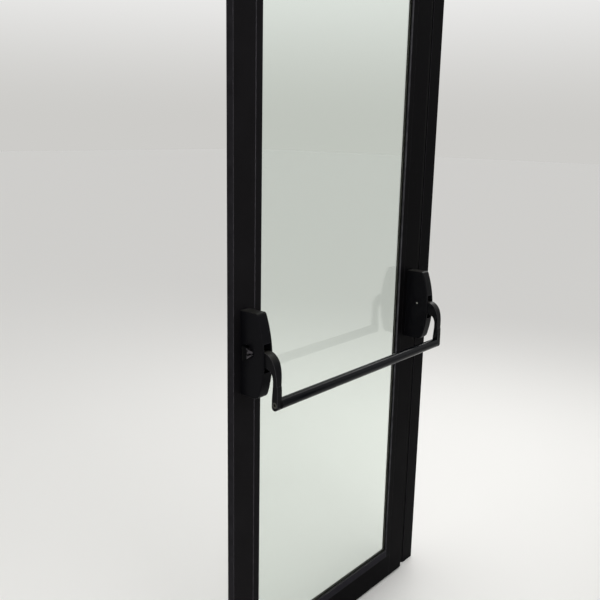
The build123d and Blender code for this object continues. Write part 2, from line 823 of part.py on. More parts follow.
for place, level in hinge_levels.items():
    foot_z = level - hinge_height / 2
    odd_levels = knuckle_levels(level, 0)
    even_levels = knuckle_levels(level, 1)

    with BuildPart() as jamb_wing:
        with Locations((hinge_reveal_x, pin_y, foot_z)):
            Box(
                wing_thickness,
                frame_front_y - pin_y + wing_width,
                hinge_height,
                align=(Align.MIN, Align.MIN, Align.MIN),
            )
        trim_knuckles(odd_levels, even_levels, knuckle_height, pin_radius)
        own_planes = [plane for plane in jamb_wing_planes if abs(plane.origin.Z - level) < hinge_height / 2]
        countersinks(own_planes, hinge_screw_radius, hinge_screw_head, wing_thickness)
    jamb_wing.part.label = f"{place}_hinge_jamb_wing"
    export_step(jamb_wing.part, f"parts/{place}_hinge_jamb_wing.step")

    with BuildPart() as leaf_wing:
        with Locations((pin_x, hinge_edge_y, foot_z)):
            Box(
                pull_face_x - pin_x + wing_width,
                wing_thickness,
                hinge_height,
                align=(Align.MIN, Align.MIN, Align.MIN),
            )
        lifted_levels = [foot + knuckle_gap for foot in even_levels]
        own_height = knuckle_height - 2 * knuckle_gap
        trim_knuckles(lifted_levels, odd_levels, own_height, pin_radius + pin_clearance)
        own_planes = [plane for plane in leaf_wing_planes if abs(plane.origin.Z - level) < hinge_height / 2]
        countersinks(own_planes, hinge_screw_radius, hinge_screw_head, wing_thickness)
    leaf_wing.part.label = f"{place}_hinge_leaf_wing"
    export_step(leaf_wing.part, f"parts/{place}_hinge_leaf_wing.step")

    with BuildPart() as pin:
        with Locations((pin_x, pin_y, foot_z)):
            Cylinder(pin_radius, hinge_height, align=upright)
            Cylinder(pin_head_radius, pin_head_height, align=(Align.CENTER, Align.CENTER, Align.MAX))
        with Locations((pin_x, pin_y, foot_z + hinge_height)):
            Cylinder(pin_head_radius, pin_head_height, align=upright)
        ends = pin.faces().filter_by(Axis.Z).sort_by(Axis.Z)
        fillet([ends[0].edges()[0], ends[-1].edges()[0]], radius=pin_head_round)
    pin.part.label = f"{place}_hinge_pin"
    export_step(pin.part, f"parts/{place}_hinge_pin.step")

# Screws into the hinge wings
hinge_jamb_screws = countersunk_screws(
    jamb_wing_planes, hinge_screw_radius, hinge_screw_head, hinge_screw_length
)
hinge_jamb_screws.label = "hinge_jamb_screws"
export_step(hinge_jamb_screws, "parts/hinge_jamb_screws.step")

hinge_leaf_screws = countersunk_screws(
    leaf_wing_planes, hinge_screw_radius, hinge_screw_head, hinge_screw_length
)
hinge_leaf_screws.label = "hinge_leaf_screws"
export_step(hinge_leaf_screws, "parts/hinge_leaf_screws.step")


def case_outline():
    """Side outline of a case: flat ends, and a front that bellies out level with the pivot."""
    with BuildSketch() as outline:
        with BuildLine():
            belly = ThreePointArc(
                (case_foot_depth, -case_below), (case_depth, 0), (case_head_depth, case_above)
            )
            Polyline(belly @ 1, (0, case_above), (0, -case_below), belly @ 0)
        make_face()
        front = outline.vertices().filter_by(lambda point: point.X > case_wall)
        fillet(front.sort_by(Axis.Y)[0], radius=case_foot_radius)
        front = outline.vertices().filter_by(lambda point: point.X > case_wall)
        fillet(front.sort_by(Axis.Y)[-1], radius=case_head_radius)
    return outline.sketch


def cheek_outline():
    """Side outline of a bearing cheek: it tapers from a long foot on the base to the axle."""
    with BuildSketch() as outline:
        with Locations((pivot_out, 0)):
            Circle(cheek_radius)
        with Locations((base_thickness, 0)):
            Rectangle(base_thickness, cheek_foot, align=(Align.MAX, Align.CENTER))
        make_hull()
    return outline.sketch


def arm_outline():
    """Side outline of an arm: a deep root in the case, a curved shoulder and a rounded foot."""
    foot_level = -bar_drop - arm_end_drop
    with BuildSketch() as outline:
        with BuildLine():
            outer = Spline(
                (arm_start, arm_root_top - arm_root_draft),
                (case_depth, arm_root_top),
                (bar_out - arm_shoulder_in, -arm_shoulder_drop),
                (bar_out + arm_waist_out, arm_waist_level),
                (bar_out + arm_end_radius, foot_level),
                tangents=((1, arm_root_slope), (0, -1)),
            )
            foot = ThreePointArc(
                outer @ 1, (bar_out, foot_level - arm_end_radius), (bar_out - arm_end_radius, foot_level)
            )
            inner = Spline(
                foot @ 1,
                (bar_out - arm_waist_in, arm_waist_level),
                (bar_out - arm_crook_in, arm_root_foot - arm_crook_drop),
                (case_depth, arm_root_foot),
                (arm_start, arm_root_foot + arm_root_draft),
                tangents=((0, 1), (-1, arm_root_slope)),
            )
            Line(inner @ 1, outer @ 0)
        make_face()
    return outline.sketch


def cover_screw_planes(side):
    """Screw places on the flat top and bottom of a case."""
    edge, inward = side
    x = bar_face_x + cover_screw_out
    y = edge + inward * case_middle
    return [
        Plane(origin=(x, y, pivot_z + case_above), z_dir=(0, 0, 1)),
        Plane(origin=(x, y, pivot_z - case_below), z_dir=(0, 0, -1)),
    ]


def case_base(side, screw_planes, second_cheek):
    """Base of a case: a plate with two bearing cheeks and a lug at each end."""
    inner_height = case_above + case_below - 2 * (case_wall + fit_gap)
    with BuildPart() as base:
        with BuildSketch(front_plane(side, case_middle, 0)):
            with Locations((0, (case_above - case_below) / 2)):
                Rectangle(base_far - base_near, inner_height)
        extrude(amount=base_thickness)
        for start in (far_cheek, second_cheek):
            with BuildSketch(side_plane(side, start, start + cheek_thickness)):
                add(cheek_outline())
            extrude(amount=cheek_thickness)
        with BuildSketch(side_plane(side, case_middle - lug_width / 2, case_middle + lug_width / 2)):
            with Locations((base_thickness, case_above - case_wall - fit_gap)):
                Rectangle(lug_length, lug_height, align=(Align.MIN, Align.MAX))
            with Locations((base_thickness, case_wall + fit_gap - case_below)):
                Rectangle(lug_length, lug_height, align=(Align.MIN, Align.MIN))
        extrude(amount=lug_width)
        drill([end_plane(side, base_far, pivot_out, 0, False)], axle_radius, base_far - second_cheek)
        drill(cover_screw_planes(side), cover_screw_radius, case_wall + fit_gap + lug_height)
        countersinks(screw_planes, case_screw_radius, case_screw_head, base_thickness)
    return base.part


def case_cover(side):
    """Cast cover of a case: a thin shell, open at the back, with the arm's slot in its front."""
    with BuildPart() as cover:
        with BuildSketch(side_plane(side, case_inset, case_far)):
            add(case_outline())
        extrude(amount=case_width)
        side_edges = cover.faces().filter_by(Axis.Y).edges()
        fillet(
            side_edges.filter_by(lambda edge: edge.center().X > bar_face_x + case_wall),
            radius=case_edge_radius,
        )
        with BuildSketch(side_plane(side, case_near_wall, case_far_wall)):
            add(case_outline())
            offset(amount=-case_wall, kind=Kind.INTERSECTION)
            with Locations((0, case_wall - case_below)):
                Rectangle(2 * case_wall, case_above + case_below - 2 * case_wall, align=corner)
        extrude(amount=case_width - 2 * case_wall, mode=Mode.SUBTRACT)
        with BuildSketch(front_plane(side, case_middle, case_depth + case_wall)):
            with Locations((0, (slot_top - slot_foot) / 2)):
                RectangleRounded(slot_width, slot_top + slot_foot, slot_corner)
        extrude(amount=-slot_cut_depth, mode=Mode.SUBTRACT)
        drill([end_plane(side, case_far, pivot_out, 0, False)], axle_radius + hole_clearance, case_wall)
        countersinks(cover_screw_planes(side), cover_screw_radius, cover_screw_head, case_wall)
    return cover.part


def nose_outline():
    """Side outline of the bolt's nose: upright at the back, with two slopes that meet in a blunt point."""
    top = bolt_height / 2
    front = bolt_back + bolt_depth
    knee = bolt_back + bolt_nose_shoulder
    with BuildSketch() as outline:
        with BuildLine():
            Polyline((bolt_back, -top), (bolt_back, top), (knee, top), (front, bolt_nose_point))
            Polyline((front, bolt_nose_point), (front, -bolt_nose_point), (knee, -top), (bolt_back, -top))
        make_face()
    return outline.sketch


def arm_axle(side, tip):
    """Shouldered axle with a socket head on the case's inner side."""
    seat = end_plane(side, case_far, pivot_out, 0, False)
    outer = seat.offset(axle_head_height)
    with BuildPart() as axle:
        with BuildSketch(seat):
            Circle(axle_head_radius)
        extrude(amount=axle_head_height)
        rim = axle.edges().filter_by(GeomType.CIRCLE).sort_by(Axis(seat.origin, seat.z_dir))[-1]
        fillet(rim, radius=axle_head_round)
        with BuildSketch(seat):
            Circle(axle_radius)
        extrude(amount=-(case_far - tip))
        add(hex_sockets([outer], axle_head_radius * socket_share, axle_socket_depth), mode=Mode.SUBTRACT)
    return axle.part


def arm(side, hub_start, finger):
    """Cast arm: outline and taper crossed, a hub on the axle, and on request a lifting finger."""
    with BuildPart() as casting:
        with BuildSketch(side_plane(side, arm_near, arm_far)):
            add(arm_outline())
        extrude(amount=arm_width)
        with BuildSketch(front_plane(side, case_middle, 0)):
            with BuildLine():
                wide = arm_width / 2
                slim = arm_foot_width / 2
                top = arm_root_top + arm_end_radius
                low_end = -bar_drop - arm_end_drop - 2 * arm_end_radius
                Polyline((-slim, low_end), (-slim, arm_waist), (-wide, arm_shoulder), (-wide, top))
                Polyline((-wide, top), (wide, top), (wide, arm_shoulder), (slim, arm_waist))
                Polyline((slim, arm_waist), (slim, low_end), (-slim, low_end))
            make_face()
        extrude(amount=bar_out + 2 * bar_radius, mode=Mode.INTERSECT)
        hub_length = arm_far - hub_start
        with BuildSketch(side_plane(side, hub_start, arm_far)):
            with Locations((pivot_out, 0)):
                Circle(arm_hub_radius)
            with Locations((arm_start, (arm_root_top + arm_root_foot) / 2)):
                Rectangle(arm_root_draft, arm_web_height, align=(Align.MIN, Align.CENTER))
            make_hull()
        extrude(amount=hub_length)
        if finger:
            with BuildSketch(side_plane(side, hub_start, arm_far)):
                with Locations((pivot_out - finger_length, 0)):
                    Circle(finger_radius)
                    Rectangle(finger_length, finger_shank, align=(Align.MIN, Align.CENTER))
            extrude(amount=hub_length)
        drill([end_plane(side, arm_far, pivot_out, 0, False)], axle_radius + axle_clearance, arm_width)
        with Locations(end_plane(side, arm_foot_near, bar_out, -bar_drop, True).location):
            CounterBoreHole(
                bar_screw_radius + hole_clearance,
                bar_screw_head + running_gap,
                bar_screw_head_height + bar_screw_sink,
                depth=arm_foot_width,
            )
    return casting.part


# Cases, axles and arms on both stiles; only the lock side has the slider and the latch
hinge_case_base = case_base(hinge_side, hinge_screw_planes, near_cheek)
hinge_case_base.label = "hinge_case_base"
export_step(hinge_case_base, "parts/hinge_case_base.step")

hinge_case_cover = case_cover(hinge_side)
hinge_case_cover.label = "hinge_case_cover"
export_step(hinge_case_cover, "parts/hinge_case_cover.step")

hinge_arm_axle = arm_axle(hinge_side, base_near)
hinge_arm_axle.label = "hinge_arm_axle"
export_step(hinge_arm_axle, "parts/hinge_arm_axle.step")

lock_arm_axle = arm_axle(lock_side, middle_cheek)
lock_arm_axle.label = "lock_arm_axle"
export_step(lock_arm_axle, "parts/lock_arm_axle.step")

hinge_arm = arm(hinge_side, arm_near, False)
hinge_arm.label = "hinge_arm"
export_step(hinge_arm, "parts/hinge_arm.step")

lock_arm = arm(lock_side, hub_near, True)
lock_arm.label = "lock_arm"
export_step(lock_arm, "parts/lock_arm.step")

# Slider places, as distances out of the face and in from the lock edge
slider_out = base_thickness + fit_gap
slider_front = slider_out + slider_thickness
slider_near = base_near + fit_gap
jaw_near = hub_near + running_gap
jaw_far = arm_far - running_gap
stem_across = (hub_near + arm_far) / 2
notch_half = finger_radius + jaw_gap
jaw_half = notch_half + jaw_thickness
jaw_front = pivot_out - finger_length + jaw_overreach
bridge_foot = bridge_rise - bridge_height
stem_hole = stem_radius + running_gap
pin_across = bolt_tail - drive_pin_radius - hole_clearance

with BuildPart() as lock_case_base:
    add(case_base(lock_side, lock_screw_planes, middle_cheek))
    # Window in the middle cheek that the slider passes
    with BuildSketch(side_plane(lock_side, middle_cheek, middle_cheek + cheek_thickness)):
        with Locations((base_thickness, bridge_foot - fit_gap)):
            window_height = bridge_height + push_lift + 2 * fit_gap
            Rectangle(slider_thickness + 2 * fit_gap, window_height, align=corner)
    extrude(amount=cheek_thickness, mode=Mode.SUBTRACT)
    # Shelf that guides the slider's stem and takes the return spring
    with BuildSketch(side_plane(lock_side, hub_near - cheek_thickness, base_far)):
        with Locations((base_thickness, shelf_rise)):
            Rectangle(shelf_depth, shelf_thickness, align=corner)
    extrude(amount=base_far - hub_near + cheek_thickness)
    with Locations((bar_face_x + stem_out, lock_edge_y + stem_across, pivot_z + shelf_rise)):
        Cylinder(stem_hole, 2 * shelf_thickness, mode=Mode.SUBTRACT)
    # Rest behind the bolt
    with BuildSketch(side_plane(lock_side, base_near, middle_cheek)):
        with Locations((base_thickness, bolt_rest_rise)):
            Rectangle(bolt_back - fit_gap - base_thickness, bolt_rest_height, align=corner)
    extrude(amount=middle_cheek - base_near)
    # Seats of the guide rod and the guide screw
    rod_seat = middle_cheek + cheek_thickness
    drill(
        [end_plane(lock_side, rod_seat, latch_bore_out, latch_bore_rise, False)],
        guide_rod_radius,
        cheek_thickness,
    )
    with Locations((bar_face_x, lock_edge_y + guide_screw_across, pivot_z + guide_screw_rise)):
        Cylinder(guide_screw_radius, 2 * base_thickness, rotation=(0, 90, 0), mode=Mode.SUBTRACT)
lock_case_base.part.label = "lock_case_base"
export_step(lock_case_base.part, "parts/lock_case_base.step")

with BuildPart() as lock_case_cover:
    add(case_cover(lock_side))
    with BuildSketch(side_plane(lock_side, case_inset, case_near_wall)):
        add(nose_outline())
        offset(amount=bolt_window_gap, kind=Kind.INTERSECTION)
    extrude(amount=case_wall, mode=Mode.SUBTRACT)
lock_case_cover.part.label = "lock_case_cover"
export_step(lock_case_cover.part, "parts/lock_case_cover.step")

# Slider: a cam edge that draws the bolt in, jaws round the arm's finger, and a guided stem
cam_slope = push_lift / bolt_travel
cam_drop = (drive_pin_radius + running_gap) * math.hypot(1, cam_slope)
cam_near = drive_pin_rise - cam_drop + cam_slope * (pin_across - slider_near)
cam_end = middle_cheek - fit_gap
cam_far = drive_pin_rise - cam_drop - cam_slope * (cam_end - pin_across)
tail_near = guide_screw_across - tail_width / 2
tail_far = guide_screw_across + tail_width / 2
with BuildPart() as slider:
    with BuildSketch(front_plane(lock_side, 0, slider_out)):
        with BuildLine():
            Polyline(
                (slider_near, cam_near),
                (cam_end, cam_far),
                (cam_end, bridge_rise),
                (jaw_near, bridge_rise),
                (jaw_near, jaw_half),
                (jaw_far, jaw_half),
                (jaw_far, bridge_foot),
                (tail_far, bridge_foot),
                (tail_far, tail_foot),
                (tail_near, tail_foot),
                (tail_near, bridge_foot),
                (slider_near, bridge_foot),
                close=True,
            )
        make_face()
        with Locations((guide_screw_across, guide_screw_rise - push_lift / 2)):
            slot_span = push_lift + 2 * (guide_screw_radius + running_gap)
            SlotOverall(slot_span, 2 * (guide_screw_radius + running_gap), 90, mode=Mode.SUBTRACT)
    extrude(amount=slider_thickness)
    with BuildSketch(side_plane(lock_side, jaw_near, jaw_far)):
        with Locations((slider_out, 0)):
            Rectangle(jaw_front - slider_out, 2 * jaw_half, align=(Align.MIN, Align.CENTER))
        with Locations((slider_front, 0)):
            Rectangle(
                jaw_front - slider_front,
                2 * notch_half,
                align=(Align.MIN, Align.CENTER),
                mode=Mode.SUBTRACT,
            )
    extrude(amount=jaw_far - jaw_near)
    with Locations((bar_face_x + stem_out, lock_edge_y + stem_across, pivot_z + jaw_half)):
        Cylinder(stem_radius, stem_top - jaw_half, align=upright)
slider.part.label = "slider"
export_step(slider.part, "parts/slider.step")

# Guide screw that keeps the slider on its base
with BuildPart() as slider_guide_screw:
    guide_head = front_plane(lock_side, guide_screw_across, slider_front + fit_gap)
    with BuildSketch(guide_head):
        with Locations((0, guide_screw_rise)):
            Circle(guide_screw_radius)
    extrude(amount=-(slider_front + fit_gap))
    with BuildSketch(guide_head):
        with Locations((0, guide_screw_rise)):
            Circle(guide_screw_head)
    extrude(amount=guide_screw_head_height)
    with BuildSketch(guide_head.offset(guide_screw_head_height)):
        with Locations((0, guide_screw_rise)):
            RegularPolygon(guide_screw_head * socket_share, 6)
    extrude(amount=-guide_screw_socket_depth, mode=Mode.SUBTRACT)
slider_guide_screw.part.label = "slider_guide_screw"
export_step(slider_guide_screw.part, "parts/slider_guide_screw.step")


def coil(centre, radius, wire, turns, length):
    """Compression spring along a plane's normal, between seats that length apart."""
    free = length - 2 * (wire + hole_clearance)
    start = centre.offset(wire + hole_clearance)
    with BuildPart() as spring:
        with BuildLine() as path:
            Helix(free / turns, free, radius, center=start.origin, direction=start.z_dir)
        with BuildSketch(Plane(origin=path.line @ 0, z_dir=path.line % 0)):
            RegularPolygon(wire, wire_sides)
        sweep(path=path.line)
    return spring.part


stem_seat = Plane(origin=(bar_face_x + stem_out, lock_edge_y + stem_across, pivot_z + jaw_half))
return_spring = coil(
    stem_seat, return_spring_radius, return_spring_wire, return_spring_turns, shelf_rise - jaw_half
)
return_spring.label = "return_spring"
export_step(return_spring, "parts/return_spring.step")

# Latch bolt: bevelled nose, a bore for its spring, and a seat for the drive pin
bolt_plan = Plane(origin=(bar_face_x, lock_edge_y, pivot_z - bolt_height / 2))
with BuildPart() as latch_bolt:
    with BuildSketch(bolt_plan) as plan:
        with BuildLine():
            Polyline(
                (bolt_back, bolt_tip),
                (bolt_back + bolt_tip_flat, bolt_tip),
                (bolt_back + bolt_depth, bolt_tip + bolt_bevel),
                (bolt_back + bolt_depth, bolt_tail),
                (bolt_back, bolt_tail),
                close=True,
            )
        make_face()
        fillet(plan.vertices().group_by(Axis.Y)[0], radius=bolt_tip_radius)
    extrude(amount=bolt_height)
    with BuildSketch(side_plane(lock_side, 0, bolt_nose_end)):
        with Locations((bolt_back, 0)):
            Rectangle(bolt_depth, bolt_height, align=(Align.MIN, Align.CENTER))
        add(nose_outline(), mode=Mode.SUBTRACT)
    extrude(amount=bolt_nose_end, mode=Mode.SUBTRACT)
    eye_out = bolt_back + bolt_depth - bolt_eye_inset
    drill([end_plane(lock_side, bolt_tip, eye_out, -bolt_eye_drop, True)], bolt_eye_radius, bolt_bevel)
    drill(
        [end_plane(lock_side, bolt_tail, latch_bore_out, latch_bore_rise, False)],
        latch_bore_radius,
        bolt_tail - latch_bore_floor,
    )
    with Locations(front_plane(lock_side, pin_across, bolt_back)):
        with Locations((0, drive_pin_rise, 0)):
            Cylinder(drive_pin_radius, 2 * drive_pin_seat, mode=Mode.SUBTRACT)
latch_bolt.part.label = "latch_bolt"
export_step(latch_bolt.part, "parts/latch_bolt.step")

with BuildPart() as drive_pin:
    with BuildSketch(front_plane(lock_side, pin_across, bolt_back + drive_pin_seat)):
        with Locations((0, drive_pin_rise)):
            Circle(drive_pin_radius)
    extrude(amount=-(bolt_back + drive_pin_seat - slider_out - fit_gap))
drive_pin.part.label = "drive_pin"
export_step(drive_pin.part, "parts/drive_pin.step")

with BuildPart() as latch_guide_rod:
    with BuildSketch(end_plane(lock_side, rod_seat, latch_bore_out, latch_bore_rise, True)):
        Circle(guide_rod_radius)
    extrude(amount=rod_seat - guide_rod_tip)
latch_guide_rod.part.label = "latch_guide_rod"
export_step(latch_guide_rod.part, "parts/latch_guide_rod.step")

latch_seat = end_plane(lock_side, latch_bore_floor, latch_bore_out, latch_bore_rise, False)
latch_spring = coil(
    latch_seat, latch_spring_radius, latch_spring_wire, latch_spring_turns, middle_cheek - latch_bore_floor
)
latch_spring.label = "latch_spring"
export_step(latch_spring, "parts/latch_spring.step")

# Push bar between the arms, with a plug and a socket screw at each end
bar_length = leaf_width - 2 * arm_foot_far
bar_end = Plane(
    origin=(bar_face_x + bar_out, hinge_edge_y - arm_foot_far, pivot_z - bar_drop), z_dir=(0, -1, 0)
)
bar_start = Plane(
    origin=(bar_face_x + bar_out, lock_edge_y + arm_foot_far, pivot_z - bar_drop), z_dir=(0, 1, 0)
)
with BuildPart() as push_bar:
    with BuildSketch(bar_end):
        Circle(bar_radius)
        Circle(bar_radius - bar_wall, mode=Mode.SUBTRACT)
    extrude(amount=bar_length)
push_bar.part.label = "push_bar"
export_step(push_bar.part, "parts/push_bar.step")

with BuildPart() as push_bar_plugs:
    with BuildSketch(bar_start, bar_end):
        Circle(bar_radius - bar_wall)
        Circle(bar_screw_radius, mode=Mode.SUBTRACT)
    extrude(amount=bar_plug_length)
push_bar_plugs.part.label = "push_bar_plugs"
export_step(push_bar_plugs.part, "parts/push_bar_plugs.step")

bar_screw_planes = [
    end_plane(side, arm_foot_near + bar_screw_sink, bar_out, -bar_drop, True)
    for side in (lock_side, hinge_side)
]
bar_screw_sockets = hex_sockets(bar_screw_planes, bar_screw_head * socket_share, bar_screw_head_height / 2)
with BuildPart() as push_bar_screws:
    with BuildSketch(*bar_screw_planes):
        Circle(bar_screw_head)
    extrude(amount=-bar_screw_head_height)
    with BuildSketch(*bar_screw_planes):
        Circle(bar_screw_radius)
    extrude(amount=-(arm_foot_width - bar_screw_sink + bar_plug_length / 2))
    add(bar_screw_sockets, mode=Mode.SUBTRACT)
push_bar_screws.part.label = "push_bar_screws"
export_step(push_bar_screws.part, "parts/push_bar_screws.step")

# Screws of the two cases
case_screws = countersunk_screws(
    lock_screw_planes + hinge_screw_planes, case_screw_radius, case_screw_head, case_screw_length
)
case_screws.label = "case_screws"
export_step(case_screws, "parts/case_screws.step")

cover_screws = countersunk_screws(
    cover_screw_planes(lock_side) + cover_screw_planes(hinge_side),
    cover_screw_radius,
    cover_screw_head,
    cover_screw_length,
)
cover_screws.label = "cover_screws"
export_step(cover_screws, "parts/cover_screws.step")
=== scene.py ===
import json
import math

import bmesh
import bpy
from mathutils import Matrix, Vector


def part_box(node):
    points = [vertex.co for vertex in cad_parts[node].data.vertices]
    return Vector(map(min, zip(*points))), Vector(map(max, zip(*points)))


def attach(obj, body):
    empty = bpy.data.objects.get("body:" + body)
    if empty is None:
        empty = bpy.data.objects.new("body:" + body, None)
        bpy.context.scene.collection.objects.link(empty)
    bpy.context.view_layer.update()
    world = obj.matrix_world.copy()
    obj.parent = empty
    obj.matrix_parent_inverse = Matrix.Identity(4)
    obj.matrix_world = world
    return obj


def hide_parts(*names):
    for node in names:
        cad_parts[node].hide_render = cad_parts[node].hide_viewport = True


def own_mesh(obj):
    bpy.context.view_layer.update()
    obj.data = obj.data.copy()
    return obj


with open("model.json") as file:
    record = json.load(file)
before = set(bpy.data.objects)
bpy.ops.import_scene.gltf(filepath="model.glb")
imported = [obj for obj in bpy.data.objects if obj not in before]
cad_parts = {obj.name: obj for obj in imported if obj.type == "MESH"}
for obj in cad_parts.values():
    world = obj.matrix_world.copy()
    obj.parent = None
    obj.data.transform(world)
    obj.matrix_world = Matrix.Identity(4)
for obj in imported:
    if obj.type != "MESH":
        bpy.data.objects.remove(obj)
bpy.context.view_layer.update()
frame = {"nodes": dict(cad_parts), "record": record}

nodes = frame["nodes"]
scene = bpy.context.scene

# Centre line of the two arm axles, which runs along y
axle_low, axle_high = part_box("hinge_arm_axle")
AXLE_X = (axle_low.x + axle_high.x) / 2
AXLE_Z = (axle_low.z + axle_high.z) / 2

# Directions on the object
UPWARD = (0.0, 0.0, 1.0)
TO_LOCK_EDGE = (0.0, -1.0, 0.0)

# A pattern that runs alike in all directions
EVEN = (1, 1, 1)

# Tone of dust on upward faces, which also stands as a painted highlight there
DUST_AND_HIGHLIGHT_TONE = "#55544f"
# Painted shade in sockets and slots
SOCKET_SHADE = "#0b0b0a"
COAT_IOR = 1.5
GLASS_IOR = 1.52
EDGE_SAMPLES = 6

# Heights of the fine relief on the surfaces, in metres
SKIN_HEIGHT = 0.0002
GRAIN_HEIGHT = 0.0001
ROLLER_WAVE_HEIGHT = 0.002


def linear(code):
    """Linear RGBA of an sRGB hex colour."""
    channels = [int(code[i:i + 2], 16) / 255 for i in (1, 3, 5)]
    return [c / 12.92 if c <= 0.04045 else ((c + 0.055) / 1.055) ** 2.4 for c in channels] + [1.0]


def set_inputs(tree, made, inputs):
    """Sets a node's inputs to values, or links those that are given as another node's outputs."""
    for name, value in inputs.items():
        if isinstance(value, bpy.types.NodeSocket):
            tree.links.new(value, made.inputs[name])
        else:
            made.inputs[name].default_value = value


def add_node(tree, kind, settings=None, inputs=None):
    """Adds a shader node with its settings and inputs."""
    made = tree.nodes.new(kind)
    for name, value in (settings or {}).items():
        setattr(made, name, value)
    set_inputs(tree, made, inputs or {})
    return made


def new_material(name):
    """A material with an empty tree, its output and a principled shader linked to it."""
    made = bpy.data.materials.new(name)
    made.use_nodes = True
    tree = made.node_tree
    tree.nodes.clear()
    shader = add_node(tree, "ShaderNodeBsdfPrincipled")
    add_node(tree, "ShaderNodeOutputMaterial", inputs={"Surface": shader.outputs["BSDF"]})
    return made, tree, shader


def metre_place(tree, stretch=EVEN):
    """Place on the object in metres, stretched along an axis for drawn or brushed surfaces."""
    place = add_node(tree, "ShaderNodeTexCoord")
    scaled = add_node(
        tree,
        "ShaderNodeMapping",
        inputs={"Vector": place.outputs["Object"], "Scale": stretch},
    )
    return scaled.outputs["Vector"]


def patchy_tone(tree, place, per_metre, detail, tones):
    """Two tones in soft patches, so many to the metre, and the second one's share at each place."""
    cloud = add_node(
        tree,
        "ShaderNodeTexNoise",
        inputs={"Vector": place, "Scale": per_metre, "Detail": detail},
    )
    shade = add_node(
        tree,
        "ShaderNodeMix",
        {"data_type": "RGBA"},
        {"Factor": cloud.outputs["Fac"], "A": linear(tones[0]), "B": linear(tones[1])},
    )
    return shade.outputs["Result"], cloud.outputs["Fac"]


def relief(tree, place, per_metre, detail, strength, height, normal=None):
    """A fine relief, so many grains to the metre, laid on a normal, and the grain it comes from."""
    grain = add_node(
        tree,
        "ShaderNodeTexNoise",
        inputs={"Vector": place, "Scale": per_metre, "Detail": detail},
    )
    bump = add_node(
        tree,
        "ShaderNodeBump",
        inputs={"Strength": strength, "Distance": height, "Height": grain.outputs["Fac"]},
    )
    if normal is not None:
        set_inputs(tree, bump, {"Normal": normal})
    return bump.outputs["Normal"], grain.outputs["Fac"]


def worn_and_lit_edges(tree, radius, place, per_metre):
    """A mask that is high along edges, for wear and for a painted highlight there, broken up in
    patches, and the eased normal there."""
    # Cosine between the true and the eased normal where the paler edge of wear and painted
    # highlight begins, and where it is full
    begins, full = 0.98, 0.75
    # Noise value where an edge is least pale, and where it is fully pale
    least_at, full_edge_at = 0.35, 0.65
    least_edge_share = 0.65
    eased = add_node(tree, "ShaderNodeBevel", {"samples": EDGE_SAMPLES}, {"Radius": radius})
    flat = add_node(tree, "ShaderNodeNewGeometry")
    facing = add_node(
        tree,
        "ShaderNodeVectorMath",
        {"operation": "DOT_PRODUCT"},
        {0: eased.outputs["Normal"], 1: flat.outputs["Normal"]},
    )
    turned = add_node(
        tree,
        "ShaderNodeMapRange",
        inputs={"Value": facing.outputs["Value"], "From Min": begins, "From Max": full},
    )
    patchy = add_node(
        tree,
        "ShaderNodeTexNoise",
        inputs={"Vector": place, "Scale": per_metre, "Detail": 3.0},
    )
    kept = add_node(
        tree,
        "ShaderNodeMapRange",
        inputs={
            "Value": patchy.outputs["Fac"],
            "From Min": least_at,
            "From Max": full_edge_at,
            "To Min": least_edge_share,
        },
    )
    mask = add_node(
        tree,
        "ShaderNodeMath",
        {"operation": "MULTIPLY"},
        {0: turned.outputs["Result"], 1: kept.outputs["Result"]},
    )
    return mask.outputs["Value"], eased.outputs["Normal"]


def laid_on(tree, under, facing, tone, share):
    """Lays a tone over a colour in soft patches, on the faces that look one way on the object."""
    # Cosine to that way where the tone begins, and where it is full
    begins, full = 0.4, 0.95
    patches_per_metre = 30.0
    # Noise value where a patch is thinnest, and where it is whole
    thin_at, whole_at = 0.3, 0.65
    thinnest = 0.4
    place = add_node(tree, "ShaderNodeTexCoord")
    towards = add_node(
        tree,
        "ShaderNodeVectorMath",
        {"operation": "DOT_PRODUCT"},
        {0: place.outputs["Normal"], 1: facing},
    )
    seen_faces = add_node(
        tree,
        "ShaderNodeMapRange",
        inputs={
            "Value": towards.outputs["Value"],
            "From Min": begins,
            "From Max": full,
            "To Max": share,
        },
    )
    patches = add_node(
        tree,
        "ShaderNodeTexNoise",
        inputs={"Vector": place.outputs["Object"], "Scale": patches_per_metre, "Detail": 4.0},
    )
    thick = add_node(
        tree,
        "ShaderNodeMapRange",
        inputs={
            "Value": patches.outputs["Fac"],
            "From Min": thin_at,
            "From Max": whole_at,
            "To Min": thinnest,
        },
    )
    cover = add_node(
        tree,
        "ShaderNodeMath",
        {"operation": "MULTIPLY"},
        {0: seen_faces.outputs["Result"], 1: thick.outputs["Result"]},
    )
    over = add_node(
        tree,
        "ShaderNodeMix",
        {"data_type": "RGBA"},
        {"Factor": cover.outputs["Value"], "A": under, "B": linear(tone)},
    )
    return over.outputs["Result"]


